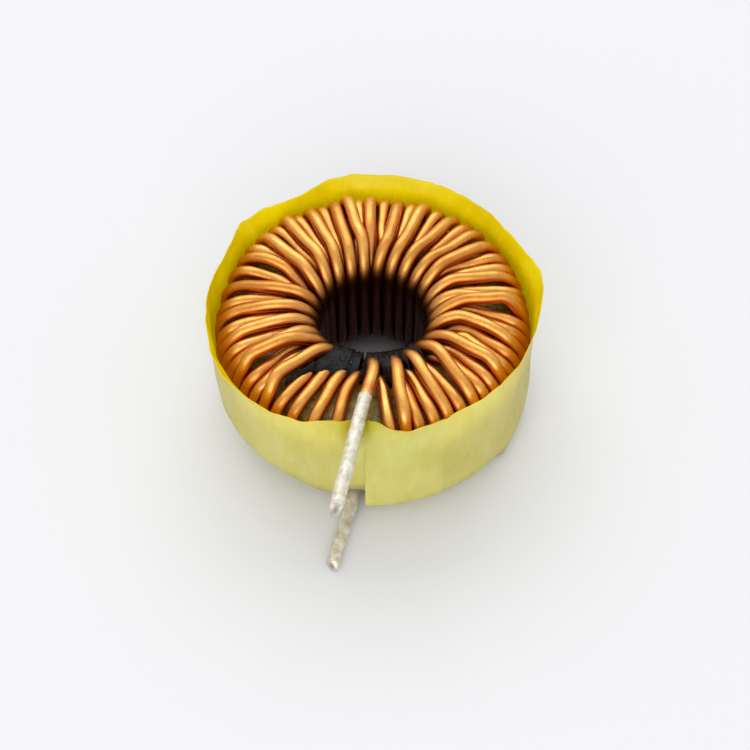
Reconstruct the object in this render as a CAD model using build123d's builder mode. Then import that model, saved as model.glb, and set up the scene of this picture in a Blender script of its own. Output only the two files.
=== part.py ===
from build123d import *
import math
import os
import numpy as np

os.makedirs("parts", exist_ok=True)

# Toroidal inductor, millimetres. Z is the axis of the ring, Z = 0 is the lowest point of the
# winding, -Y is the front, where both leads come out. Azimuths are degrees measured from the
# front, rising towards -X: a point at radius r and azimuth a is (-r sin a, -r cos a).

# powder core: a ring with rounded edges
CORE_RO = 13.45      # outside radius
CORE_RI = 7.15       # bore radius
CORE_Z0 = 2.5        # underside
CORE_Z1 = 11.7       # top side
CORE_EDGE = 1.5      # edge rounding
CORE_LOW_EDGE = 2.6  # rounding of the lower outer edge

# enamelled wire
WIRE_D = 1.18        # diameter over the enamel
WIRE_GAP = 0.06      # least distance aimed at between two strands
TOP_BEND = 1.9       # centreline radius where a strand turns over an edge of the core
HUMP = 0.95          # rise of the second pass where it rides over the first
OUTER_LIMIT = 14.2   # outermost centreline radius of a turn

# leads: (radius, azimuth, height) of the centreline beyond the winding
LOWER_LEAD = [(20.5, 10.5, 0.6), (15.3, 8.95, 0.67), (13.3, 8.2, 1.1)]
UPPER_LEAD = [(13.6, 5.4, 13.52), (16.0, 6.25, 13.6), (22.75, 7.95, 13.2)]
UPPER_LIFT = 1.15    # height of the upper lead above a strand that lies on the core

# film round the outside
FILM_T = 0.12        # thickness of the solid
FILM_GAP = 0.03      # between the two layers where the ends overlap
FILM_R = 14.93       # inner radius of the wall at the fold lines

# turns, each with its layer and its azimuth where it crosses the top at r = 13, 12, 11, 10, 9,
# 8, 7. L strands lie on the core; U strands belong to the second pass and ride over them.
STRANDS = [
    ('L', 13.9, 13.9, 14.3, 14.3, 14.1, 14.1, 15.5),
    ('L', 23.4, 22.7, 22.5, 22.6, 23.0, 23.6, 26.4),
    ('L', 31.6, 31.2, 31.0, 31.0, 31.4, 32.5, 36.7),
    ('L', 38.5, 38.1, 38.4, 38.2, 38.6, 40.8, 46.5),
    ('U', 45.1, 46.1, 45.9, 45.2, 44.6, 44.7, 45.9),
    ('L', 49.3, 49.6, 50.7, 51.7, 53.1, 56.1, 61.1),
    ('L', 54.4, 54.6, 55.1, 55.4, 56.6, 60.8, 68.7),
    ('U', 61.2, 61.8, 61.0, 60.0, 59.2, 58.7, 58.7),
    ('U', 64.7, 65.4, 64.8, 64.6, 64.4, 65.1, 67.0),
    ('L', 69.3, 70.6, 71.3, 71.8, 73.4, 78.0, 87.3),
    ('U', 75.5, 77.1, 77.0, 77.0, 76.8, 76.7, 77.7),
    ('L', 80.4, 82.0, 83.1, 84.0, 85.7, 90.4, 99.2),
    ('U', 88.6, 89.9, 89.2, 89.0, 89.3, 89.8, 92.0),
    ('L', 93.9, 95.6, 96.7, 97.7, 99.8, 104.8, 111.3),
    ('U', 102.6, 103.9, 103.2, 102.8, 103.0, 103.5, 104.2),
    ('L', 110.9, 112.3, 112.7, 113.0, 113.4, 115.4, 118.0),
    ('L', 118.8, 119.9, 120.8, 121.3, 121.6, 122.3, 123.0),
    ('L', 124.1, 124.2, 124.9, 126.1, 128.2, 131.2, 133.6),
    ('U', 130.2, 130.3, 128.8, 127.7, 127.0, 127.0, 126.6),
    ('L', 137.8, 138.0, 137.6, 137.0, 136.6, 136.8, 136.9),
    ('U', 142.1, 141.8, 141.0, 140.5, 140.6, 140.9, 140.9),
    ('L', 147.7, 147.6, 147.6, 147.7, 148.0, 150.0, 151.4),
    ('U', 154.0, 153.5, 152.9, 152.6, 152.2, 152.2, 152.6),
    ('L', 159.3, 158.8, 158.7, 158.5, 158.4, 159.7, 160.7),
    ('U', 164.7, 164.1, 163.5, 163.3, 162.8, 163.1, 163.9),
    ('U', 170.1, 170.0, 170.1, 170.6, 171.6, 173.5, 175.0),
    ('L', 174.1, 174.0, 174.3, 174.5, 174.1, 172.9, 171.9),
    ('L', 179.0, 178.9, 178.6, 178.4, 178.2, 178.2, 178.2),
    ('L', 184.7, 184.7, 184.8, 184.6, 184.6, 184.5, 184.5),
    ('U', 190.7, 190.7, 190.7, 190.7, 190.5, 190.7, 190.9),
    ('L', 196.5, 196.3, 196.2, 195.9, 195.9, 195.5, 195.2),
    ('U', 201.6, 201.1, 201.2, 201.0, 201.0, 200.6, 199.7),
    ('L', 207.6, 207.2, 207.1, 206.7, 206.6, 205.0, 203.7),
    ('U', 214.6, 213.9, 214.0, 213.7, 213.0, 211.1, 209.1),
    ('L', 221.5, 220.6, 219.6, 218.5, 217.4, 215.2, 213.5),
    ('U', 226.4, 225.9, 226.0, 225.9, 224.9, 223.4, 221.5),
    ('U', 236.0, 234.7, 234.6, 234.3, 234.1, 233.3, 232.3),
    ('L', 243.0, 241.3, 240.2, 239.4, 238.1, 235.4, 232.9),
    ('L', 248.3, 246.5, 244.4, 242.9, 241.1, 238.1, 235.3),
    ('U', 253.2, 251.9, 251.7, 250.7, 249.3, 247.1, 244.3),
    ('L', 261.1, 260.0, 258.3, 256.7, 254.7, 250.5, 245.7),
    ('U', 264.6, 264.0, 264.3, 264.2, 262.9, 260.2, 256.6),
    ('U', 268.6, 268.0, 268.5, 269.2, 268.8, 267.8, 265.1),
    ('L', 275.7, 274.9, 273.6, 273.1, 272.3, 269.6, 263.0),
    ('L', 281.7, 280.5, 278.8, 277.7, 276.8, 274.3, 268.2),
    ('U', 286.0, 285.3, 284.1, 283.3, 281.8, 279.3, 275.3),
    ('L', 292.7, 291.9, 290.8, 289.8, 288.6, 285.5, 277.6),
    ('L', 298.1, 296.7, 294.5, 292.1, 289.1, 285.0, 277.7),
    ('U', 301.1, 300.5, 300.9, 301.0, 300.4, 298.6, 295.0),
    ('L', 307.5, 306.5, 305.9, 305.4, 303.9, 300.8, 295.9),
    ('L', 313.3, 312.3, 311.7, 310.9, 309.7, 306.8, 301.7),
    ('U', 318.2, 317.5, 317.1, 316.2, 314.9, 312.7, 309.3),
    ('L', 324.4, 324.1, 323.7, 323.6, 323.0, 321.2, 316.4),
    ('U', 330.3, 329.9, 330.3, 330.3, 330.3, 329.3, 326.5),
    ('L', 336.1, 336.1, 336.1, 336.1, 335.8, 334.9, 331.8),
    ('L', 342.3, 342.7, 342.7, 342.5, 342.2, 341.7, 339.9),
    ('U', 347.2, 346.9, 346.7, 346.6, 345.5, 344.2, 342.4),
    ('L', 353.3, 353.8, 354.1, 354.3, 354.2, 353.9, 353.3),
]
FINISH = [5.2, 4.8, 3.9, 2.5, 1.2, -0.3, -1.7]     # the finish lead, at the same radii
STRAND_R = np.array([13.0, 12.0, 11.0, 10.0, 9.0, 8.0, 7.0])

# one turn runs up the bore, over the top, down the outside and back underneath
COUNT = [12, 7, 14, 7, 12, 7, 14, 7]
N = sum(COUNT)
EDGE = np.r_[0, np.cumsum(COUNT)]


def spread(a, gap, closed):
    """Azimuths moved apart until neighbours are at least gap degrees from each other."""
    a0 = np.array(a, float)
    x = a0.copy()
    for _ in range(4000):
        if closed:
            e = np.clip(gap - np.diff(np.r_[x, x[0] + 360]), 0, None) * 0.5
            x = x - e + np.roll(e, 1)
        else:
            e = np.clip(gap - np.diff(x), 0, None) * 0.5
            x[:-1] -= e
            x[1:] += e
        x += 0.002 * (a0 - x)
    return x


def near(a, b):
    return a + 360 * round((b - a) / 360)


def first_guess():
    """Centreline stations of the whole wire, laid on the core in winding order."""
    low = [i for i, s in enumerate(STRANDS) if s[0] == "L"]
    high = [i for i, s in enumerate(STRANDS) if s[0] == "U"]
    d0 = WIRE_D + WIRE_GAP
    r1 = CORE_RI - WIRE_D / 2 - 0.045
    r2 = r1 - 1.10
    bore = np.zeros(len(STRANDS))
    bore[low] = spread([STRANDS[i][6] for i in low], math.degrees(d0 / r1), True)
    bore[high] = spread([STRANDS[i][7] for i in high], math.degrees(d0 / r2), False)
    order = low[::-1] + high[::-1]
    turns = len(order)
    zt = CORE_Z1 + WIRE_D / 2 + 0.045
    zb = CORE_Z0 - WIRE_D / 2 - 0.045
    ro = CORE_RO + WIRE_D / 2 + 0.045
    rc = TOP_BEND
    rb = CORE_LOW_EDGE + WIRE_D / 2 + 0.045
    units = turns + 2
    pts = np.zeros((units, N, 3))
    used = np.zeros((units, N), bool)
    aim = np.full((units, N), np.nan)
    layer = ["L"] + [STRANDS[i][0] for i in order] + ["U"]
    inner = [None] + [bore[i] for i in order] + [FINISH[6]]
    tops = [None] + [STRANDS[i][1:] for i in order] + [FINISH]
    outer = [7.6] + [STRANDS[i][1] for i in order] + [FINISH[0]]
    slant = {turns + 1: 40.0, layer.index("U"): 366.0}   # strands that cross the bore obliquely

    def rise(r, l):
        if l == "L":
            return 0.0
        t = min(max((12.0 - r) / 2.6, 0), 1)
        return HUMP * (3 * t * t - 2 * t ** 3)

    for u in range(units):
        l = layer[u]
        ri = r1 if l == "L" else r2
        a_out = outer[u]
        a_in = near(inner[u], a_out) if u else a_out
        if u < units - 1:
            nl = layer[u + 1]
            nri = r1 if nl == "L" else r2
            n_in = near(inner[u + 1], a_out)
        else:
            nl, nri, n_in = "U", r2, a_out
        h = rise(ri, l)
        low_h = 0 if l == "L" else HUMP
        a_bot = near(slant[u], a_in) if u in slant else a_in
        n_bot = near(slant[u + 1], a_out) if u + 1 in slant else n_in
        row = []

        def put(r, a, z, on, target=np.nan):
            a_ = math.radians(a)
            row.append((-r * math.sin(a_), -r * math.cos(a_), z, on, target))

        for j in range(COUNT[0]):
            f = (j + 0.5) / COUNT[0]
            put(ri, a_bot + (a_in - a_bot) * f,
                zb + rc + (zt + h - 2 * rc - zb + low_h) * f - low_h, u > 0)
        for j in range(COUNT[1]):
            t = math.pi / 2 * (j + 0.5) / COUNT[1]
            put(ri + rc - rc * math.cos(t), a_in, zt + h - rc + rc * math.sin(t), u > 0)
        for j in range(COUNT[2]):
            f = (j + 0.5) / COUNT[2]
            r = ri + rc + (ro - ri - 2 * rc) * f
            a = 0.0
            if u:
                a = float(np.interp(r, STRAND_R[::-1], [near(v, a_out) for v in tops[u]][::-1]))
                limit = 9 if l == "L" else 8
                if r < limit:
                    a = a_in + (a - a_in) * min(max((r - ri - rc) / (limit - ri - rc), 0), 1)
            guided = u > 0 and (r > 7.3 if l == "U" else r > 9.5)
            z = zt + (UPPER_LIFT if u == units - 1 and r > 9.4 else rise(r, l))
            put(r, a, z, u > 0, a if guided else np.nan)
        for j in range(COUNT[3]):
            t = math.pi / 2 * (j + 0.5) / COUNT[3]
            put(ro - rc + rc * math.sin(t), a_out, zt - rc + rc * math.cos(t), 0 < u <= turns)
        for j in range(COUNT[4]):
            f = (j + 0.5) / COUNT[4]
            put(ro, a_out, zt - rc + (zb + rb + rc - zt) * f, 0 < u <= turns)
        for j in range(COUNT[5]):
            t = math.pi / 2 * (j + 0.5) / COUNT[5]
            put(ro - rb + rb * math.cos(t), a_out, zb + rb - rb * math.sin(t), 0 < u <= turns)
        for j in range(COUNT[6]):
            f = (j + 0.5) / COUNT[6]
            r = ro - rb + (nri + rc + rb - ro) * f
            crowd = "U" if (l == "U" and r > 9) or nl == "U" else "L"
            put(r, a_out + (n_bot - a_out) * f, zb - 0.5 * rise(r, nl) - 0.5 * rise(r, crowd),
                u <= turns)
        for j in range(COUNT[7]):
            t = math.pi / 2 * (j + 0.5) / COUNT[7]
            put(nri + rc - rc * math.sin(t), n_bot, zb - rise(nri, nl) + rc - rc * math.cos(t),
                u <= turns)
        row = np.array(row, float)
        pts[u], used[u], aim[u] = row[:, :3], row[:, 3] > 0, row[:, 4]
    return pts, used, aim, layer


def core_distance(p):
    """Distance to the ring's rounded rectangular section, and its gradient."""
    hw, hh = (CORE_RO - CORE_RI) / 2, (CORE_Z1 - CORE_Z0) / 2
    r = np.hypot(p[..., 0], p[..., 1])
    q0, q1 = r - (CORE_RO + CORE_RI) / 2, p[..., 2] - (CORE_Z0 + CORE_Z1) / 2
    edge = np.where((q0 > 0) & (q1 < 0), CORE_LOW_EDGE, CORE_EDGE)
    ax, az = np.abs(q0) - (hw - edge), np.abs(q1) - (hh - edge)
    m0, m1 = np.maximum(ax, 0), np.maximum(az, 0)
    length = np.hypot(m0, m1)
    d = length + np.minimum(np.maximum(ax, az), 0) - edge
    inside = length < 1e-9
    safe = np.maximum(length, 1e-9)
    g0 = np.where(inside, (ax > az) * 1.0, m0 / safe) * np.sign(q0)
    g1 = np.where(inside, (ax <= az) * 1.0, m1 / safe) * np.sign(q1)
    k = 1 / np.maximum(r, 1e-9)
    return d, np.stack([g0 * p[..., 0] * k, g0 * p[..., 1] * k, g1], -1)


def pull_tight(pts, used, aim, layer, rounds=220):
    """The wire drawn taut: strands keep clear of each other, of the core and of the floor."""
    units = len(pts)
    d0 = WIRE_D + WIRE_GAP
    total = units * N
    x = pts.copy()
    aim_r, guided = np.radians(np.nan_to_num(aim)), ~np.isnan(aim)
    on = np.where(used.reshape(-1))[0]
    i0, i1 = on[0], on[-1]
    held = np.zeros(total, bool)
    held[i0:i0 + 3] = True
    held[i1 - 2:i1 + 1] = True
    up, towards_axis = np.zeros(N), np.zeros(N)
    up[EDGE[2]:EDGE[3]], up[EDGE[6]:EDGE[7]], towards_axis[EDGE[0]:EDGE[1]] = 1, -1, 1
    ramp = np.linspace(0, 1, COUNT[1])
    up[EDGE[1]:EDGE[2]], towards_axis[EDGE[1]:EDGE[2]] = ramp, ramp[::-1]
    up[EDGE[7]:EDGE[8]], towards_axis[EDGE[7]:EDGE[8]] = -ramp[::-1], ramp
    over = np.repeat([1.0 if l == "U" else 0.0 for l in layer], N)
    turn_row = ((np.arange(units) > 0) & (np.arange(units) < units - 1))[:, None]
    for step in range(rounds):
        phase = step / rounds
        tension = 0.05 if phase < 0.8 else 0.0
        stiffness = 0.25 if phase < 0.9 else 0.05
        f = x.reshape(-1, 3).copy()
        seg = f[i0:i1 + 1]
        for _ in range(2):
            lap = np.zeros_like(seg)
            lap[1:-1] = 0.5 * (seg[:-2] + seg[2:]) - seg[1:-1]
            bend = np.zeros_like(seg)
            bend[1:-1] = lap[1:-1] - 0.5 * (lap[:-2] + lap[2:])
            move = tension * lap + stiffness * bend
            move[held[i0:i1 + 1]] = 0
            seg = seg + move
        f[i0:i1 + 1] = seg
        x = f.reshape(units, N, 3)
        r = np.hypot(x[..., 0], x[..., 1])
        a = np.arctan2(-x[..., 0], -x[..., 1])
        turn = (aim_r - a + np.pi) % (2 * np.pi) - np.pi
        k = 0.22 * np.clip((r - 7.5) / 2.2, 0, 1) * guided * turn * r
        x[..., 0] -= k * np.cos(a)
        x[..., 1] += k * np.sin(a)
        if step < 16 and step % 2 == 0 or step % 8 == 0:
            # point pairs that may meet in the next rounds
            reach = d0 + (1.2 if step < 16 else 0.5)
            p = x.reshape(-1, 3)[on]
            first, second = [], []
            for j in range(0, len(on), 500):
                q = p[j:j + 500]
                gap = (q * q).sum(1)[:, None] + (p * p).sum(1)[None] - 2 * q @ p.T
                m, n = np.nonzero(gap < reach * reach)
                m, n = on[m + j], on[n]
                keep = n - m >= 8
                first.append(m[keep])
                second.append(n[keep])
            first, second = np.concatenate(first), np.concatenate(second)
            lifted = (over[first] - over[second])[:, None] * 0.7
        r = np.hypot(x[..., 0], x[..., 1])
        out = np.zeros_like(x)
        out[..., 2] = up
        out[..., 0] = -towards_axis * x[..., 0] / r
        out[..., 1] = -towards_axis * x[..., 1] / r
        lean = lifted * out.reshape(-1, 3)[first]
        for _ in range(2):
            p = x.reshape(-1, 3)
            dv = p[first] - p[second]
            dist = np.sqrt((dv * dv).sum(-1)) + 1e-9
            hit = dist < d0
            m, n, dv = first[hit], second[hit], dv[hit] + lean[hit]
            dv *= ((d0 - dist[hit]) * 0.5 / (np.sqrt((dv * dv).sum(-1)) + 1e-9))[:, None]
            ends, push = np.concatenate([m, n]), np.concatenate([dv, -dv])
            hits = np.maximum(np.bincount(ends, minlength=total), 1)
            acc = np.stack([np.bincount(ends, push[:, c], total) for c in range(3)], 1)
            acc /= hits[:, None]
            acc[held] = 0
            x = x + 1.4 * acc.reshape(units, N, 3)
            d, g = core_distance(x)
            x = x + g * (np.clip(WIRE_D / 2 + 0.035 - d, 0, None) * used)[..., None]
            low = used & (x[..., 2] < WIRE_D / 2 + 0.01)
            x[..., 2] = np.where(low, WIRE_D / 2 + 0.01, x[..., 2])
            r = np.hypot(x[..., 0], x[..., 1])
            far = used & (r > OUTER_LIMIT) & turn_row
            k = np.where(far, OUTER_LIMIT / np.maximum(r, 1e-9), 1.0)
            x[..., 0] *= k
            x[..., 1] *= k
    return x


def polar(r, a, z):
    a = math.radians(a)
    return (-r * math.sin(a), -r * math.cos(a), z)


stations, used, aim, layer = first_guess()
centre = pull_tight(stations, used, aim, layer)

# corners of the wire's centreline: every few stations, with the leads added at both ends
CORNERS = [2, 9, 13, 17, 21, 26, 30, 35, 38, 44, 49, 53, 57, 62, 67, 71, 75, 78]
route = [np.array(polar(*p)) for p in LOWER_LEAD]
for u in range(len(centre)):
    route += [centre[u, k] for k in CORNERS if used[u, k] and not (u == 0 and k < EDGE[6] + 2)]
route += [np.array(polar(*p)) for p in UPPER_LEAD]


def corner_angle(a, b, c):
    p, q = b - a, c - b
    cosine = float(p @ q / np.linalg.norm(p) / np.linalg.norm(q))
    return math.acos(min(1.0, max(-1.0, cosine)))


kept = [route[0]]
for i in range(1, len(route) - 1):
    if corner_angle(kept[-1], route[i], route[i + 1]) > math.radians(3):
        kept.append(route[i])
kept.append(route[-1])

# straight runs joined by tangent arcs, which pass through the stations themselves
corners = list(kept)
for i in range(1, len(kept) - 1):
    a, b, c = kept[i - 1], kept[i], kept[i + 1]
    turn = corner_angle(a, b, c)
    reach = 0.45 * min(np.linalg.norm(b - a), np.linalg.norm(c - b)) / math.tan(turn / 2)
    away = (a - b) / np.linalg.norm(a - b) + (c - b) / np.linalg.norm(c - b)
    corners[i] = b - away / np.linalg.norm(away) * (reach / math.cos(turn / 2) - reach)
edges = []
here = Vector(*corners[0])
for i in range(1, len(corners) - 1):
    a, b, c = corners[i - 1], corners[i], corners[i + 1]
    turn = corner_angle(a, b, c)
    cut = 0.45 * min(np.linalg.norm(b - a), np.linalg.norm(c - b))
    p = b + (a - b) / np.linalg.norm(a - b) * cut
    q = b + (c - b) / np.linalg.norm(c - b) * cut
    away = (a - b) / np.linalg.norm(a - b) + (c - b) / np.linalg.norm(c - b)
    radius = cut / math.tan(turn / 2)
    middle = b + away / np.linalg.norm(away) * (radius / math.cos(turn / 2) - radius)
    p, q, middle = Vector(*p), Vector(*q), Vector(*middle)
    edges += [Edge.make_line(here, p), Edge.make_three_point_arc(p, middle, q)]
    here = q
edges.append(Edge.make_line(here, Vector(*corners[-1])))
wire_path = Wire(edges)

# core: one pressed ring
with BuildPart() as core:
    with BuildSketch(Plane.XZ) as section:
        with Locations(((CORE_RO + CORE_RI) / 2, (CORE_Z0 + CORE_Z1) / 2)):
            Rectangle(CORE_RO - CORE_RI, CORE_Z1 - CORE_Z0)
        fillet([v for v in section.vertices() if v.X < CORE_RO - 0.01 or v.Y > CORE_Z0 + 0.01],
               CORE_EDGE)
        fillet([v for v in section.vertices() if v.X > CORE_RO - 0.01 and v.Y < CORE_Z0 + 0.01],
               CORE_LOW_EDGE)
    revolve(axis=Axis.Z)
core.part.label = "core"
export_step(core.part, "parts/core.step")

# winding: one continuous wire with both leads
with BuildPart() as winding:
    with BuildSketch(Plane(origin=wire_path @ 0, z_dir=wire_path % 0)):
        Circle(WIRE_D / 2)
    sweep(path=wire_path)
winding.part.label = "winding"
export_step(winding.part, "parts/winding.step")


def radial_plane(a):
    """Plane through the axis at azimuth a: x outwards, y up."""
    a = math.radians(a)
    return Plane(origin=(0, 0, 0), x_dir=(-math.sin(a), -math.cos(a), 0),
                 z_dir=(-math.cos(a), math.sin(a), 0))


# film: flat facets between fold lines. Each fold line has its azimuth, its foot, the rim's radius
# and height and the height where the wall starts to lean. The foot is the radius of the lower edge
# of a wall that goes down to the 2.58 mm level, "tucked" where the film follows the winding's lower
# corner, and "raised" where it stays up over the lower lead.
TUCKED = [(12.0, 0.65), (13.24, 1.34), (FILM_R, 4.28)]
RAISED = [(13.6, 3.2), (14.2, 4.35), (FILM_R - 0.02, 5.9)]
FOLDS = [
    (-25, 12.7, 14.9, 14.0, 12.4), (-12.5, 12.8, 15.2, 14.0, 12.4), (-7.7, 12.8, 15.0, 14.0, 12.4),
    (-4.6, 12.8, 14.5, 14.0, 12.4), (-1.3, 12.9, 13.8, 13.9, 12.2), (2.7, "raised", 12.9, 12.9, 11.8),
    (5.5, "raised", 12.8, 12.7, 11.5), (8.3, "raised", 13.0, 12.9, 11.6),
    (11.6, "tucked", 13.95, 13.75, 12.0), (13.6, "tucked", 14.15, 13.95, 12.3),
    (17, "tucked", 14.4, 14.0, 12.4), (24, "tucked", 15.15, 14.0, 12.4),
    (34, "tucked", 15.5, 14.0, 12.4), (45, "tucked", 15.6, 14.0, 12.4),
    (57, "tucked", 16.0, 14.0, 12.4), (69, "tucked", 15.55, 14.0, 12.4),
    (82, "tucked", 15.25, 14.0, 12.4), (92, "tucked", 15.0, 14.0, 12.4),
    (103, 14.4, 14.85, 14.0, 12.4), (115, 13.6, 14.8, 14.0, 12.4), (127, 13.2, 15.8, 14.0, 12.4),
    (139, 13.2, 15.5, 14.0, 12.4), (152, 13.0, 14.75, 14.0, 12.4), (164, 13.0, 15.6, 14.0, 12.4),
    (173, 13.0, 16.05, 14.0, 12.4), (188, 13.0, 15.9, 14.0, 12.4), (201, 13.0, 15.9, 14.0, 12.4),
    (213, 13.0, 15.65, 14.0, 12.4), (226, 13.2, 15.6, 14.0, 12.4), (238, 13.2, 15.3, 14.0, 12.4),
    (248, 13.4, 15.45, 14.0, 12.4), (257, 13.6, 15.95, 14.0, 12.4), (266, 13.7, 15.65, 14.0, 12.4),
    (275, 13.9, 15.35, 14.0, 12.4), (285, 14.4, 15.1, 14.0, 12.4), (295, 14.1, 14.95, 14.0, 12.4),
    (301, 14.4, 15.0, 14.0, 12.4), (311, 12.9, 15.0, 14.0, 12.4), (319, 13.0, 15.0, 14.0, 12.4),
    (328, 12.8, 14.8, 14.0, 12.4), (335, 12.7, 14.9, 14.0, 12.4), (347.5, 12.8, 15.2, 14.0, 12.4),
    (352.3, 12.8, 15.0, 14.0, 12.4), (355.4, 12.8, 14.5, 14.0, 12.4),
    (358.7, 12.9, 13.8, 13.9, 12.2), (362.7, 12.9, 12.9, 12.9, 11.8),
]


def film_line(foot, rim_r, rim_z, lean_z):
    """Inner outline of the film at a fold line, from the lower edge to the rim."""
    if foot == "tucked":
        low = TUCKED
    elif foot == "raised":
        low = RAISED
    else:
        z = foot - 12.35 if foot <= 13.0 else 0.1 + 0.15 * (foot - 13.0)
        low = [(foot, z), ((foot + FILM_R) / 2 + 0.02, (z + 2.58) / 2 - 0.02), (FILM_R, 2.58)]
    return low + [(FILM_R, lean_z), (rim_r, rim_z)]


with BuildPart() as outer_tape:
    for a, foot, rim_r, rim_z, lean_z in FOLDS:
        out = FILM_T + FILM_GAP if a > 334 else 0.0
        line = [(r + out, z) for r, z in film_line(foot, rim_r, rim_z, lean_z)]
        with BuildSketch(radial_plane(a)):
            with BuildLine():
                Polyline(*line, *[(r + FILM_T, z) for r, z in line[::-1]], close=True)
            make_face()
    loft(ruled=True)
outer_tape.part.label = "outer_tape"
export_step(outer_tape.part, "parts/outer_tape.step")

# hardened glue: a lining on the inner lip of the winding, deeper where the second pass is missing,
# with a tail in the groove beside the last open turn
LINING = [(4.56, 8.6), (4.58, 10.4), (4.72, 11.1), (4.93, 11.75), (5.43, 12.66), (5.93, 13.23),
          (6.43, 13.6), (6.9, 13.85), (6.85, 14.02), (6.3, 13.85), (5.7, 13.5), (5.1, 12.95),
          (4.65, 12.1), (4.4, 11.2), (4.34, 10.0), (4.36, 8.6)]
DEEP = [(4.5, 10.6), (5.86, 10.6), (5.95, 11.2), (6.2, 11.6), (6.5, 11.97), (7.0, 12.45),
        (7.5, 12.77), (8.0, 12.93), (8.5, 13.02), (9.3, 13.04), (9.0, 13.4), (8.0, 13.6),
        (6.9, 13.55), (6.0, 13.2), (5.2, 12.6), (4.7, 11.9)]
STEP_OVER = [(7.35, 12.75), (8.0, 12.93), (8.5, 13.02), (9.7, 13.04), (9.2, 13.4), (8.0, 13.6),
             (7.4, 13.55)]
TAIL = [(9.1, 13.04), (11.3, 13.04), (10.8, 13.25), (9.2, 13.35)]
with BuildPart() as black_glue:
    for outline, first, last in ((LINING, -50, 14.2), (DEEP, 14.2, 30.5), (STEP_OVER, 30.5, 37.3),
                                 (TAIL, 37.3, 40.0)):
        with BuildSketch(radial_plane(last)):
            with BuildLine():
                Polyline(*outline, close=True)
            make_face()
        revolve(axis=Axis.Z, revolution_arc=last - first)
black_glue.part.label = "black_glue"
export_step(black_glue.part, "parts/black_glue.step")
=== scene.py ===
import math
import bpy
import numpy as np
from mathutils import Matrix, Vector


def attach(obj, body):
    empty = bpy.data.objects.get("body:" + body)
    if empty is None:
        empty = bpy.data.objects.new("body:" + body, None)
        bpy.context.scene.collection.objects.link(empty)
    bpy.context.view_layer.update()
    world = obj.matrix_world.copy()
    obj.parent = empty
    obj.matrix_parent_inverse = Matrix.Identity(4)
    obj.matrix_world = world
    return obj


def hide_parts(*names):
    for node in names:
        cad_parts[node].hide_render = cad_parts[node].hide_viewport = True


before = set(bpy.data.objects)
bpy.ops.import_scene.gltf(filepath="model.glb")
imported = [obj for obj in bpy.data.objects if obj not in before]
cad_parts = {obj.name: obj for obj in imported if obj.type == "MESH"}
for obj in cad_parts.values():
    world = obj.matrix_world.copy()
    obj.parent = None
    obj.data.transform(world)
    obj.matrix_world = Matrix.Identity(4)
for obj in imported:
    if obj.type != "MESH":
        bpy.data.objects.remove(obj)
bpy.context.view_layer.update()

# Toroidal inductor. Lengths in this file are millimetres until a mesh is made; Blender's are
# metres. Azimuths are degrees from the front (-Y), rising towards -X.
MM = 0.001

# powder core: a ring with rounded edges
CORE_RO = 13.45      # outside radius
CORE_RI = 7.15       # bore radius
CORE_Z0 = 2.5        # underside
CORE_Z1 = 11.7       # top side
CORE_EDGE = 1.5      # edge rounding
CORE_LOW_EDGE = 2.6  # rounding of the lower outer edge

# enamelled wire
WIRE_D = 1.18        # diameter over the enamel
WIRE_GAP = 0.06      # least distance aimed at between two strands
TOP_BEND = 1.9       # centreline radius where a strand turns over an edge of the core
HUMP = 0.95          # rise of the second pass where it rides over the first
OUTER_LIMIT = 14.2   # outermost centreline radius of a turn

# leads: (radius, azimuth, height) of the centreline beyond the winding
LOWER_LEAD = [(20.5, 10.5, 0.6), (15.3, 8.95, 0.67), (13.3, 8.2, 1.1)]
UPPER_LEAD = [(13.6, 5.4, 13.52), (16.0, 6.25, 13.6), (22.75, 7.95, 13.2)]
UPPER_LIFT = 1.15    # height of the upper lead above a strand that lies on the core

# film round the outside
FILM_T = 0.12        # thickness of the solid
FILM_GAP = 0.03      # between the two layers where the ends overlap
FILM_R = 14.93       # inner radius of the wall at the fold lines

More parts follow.
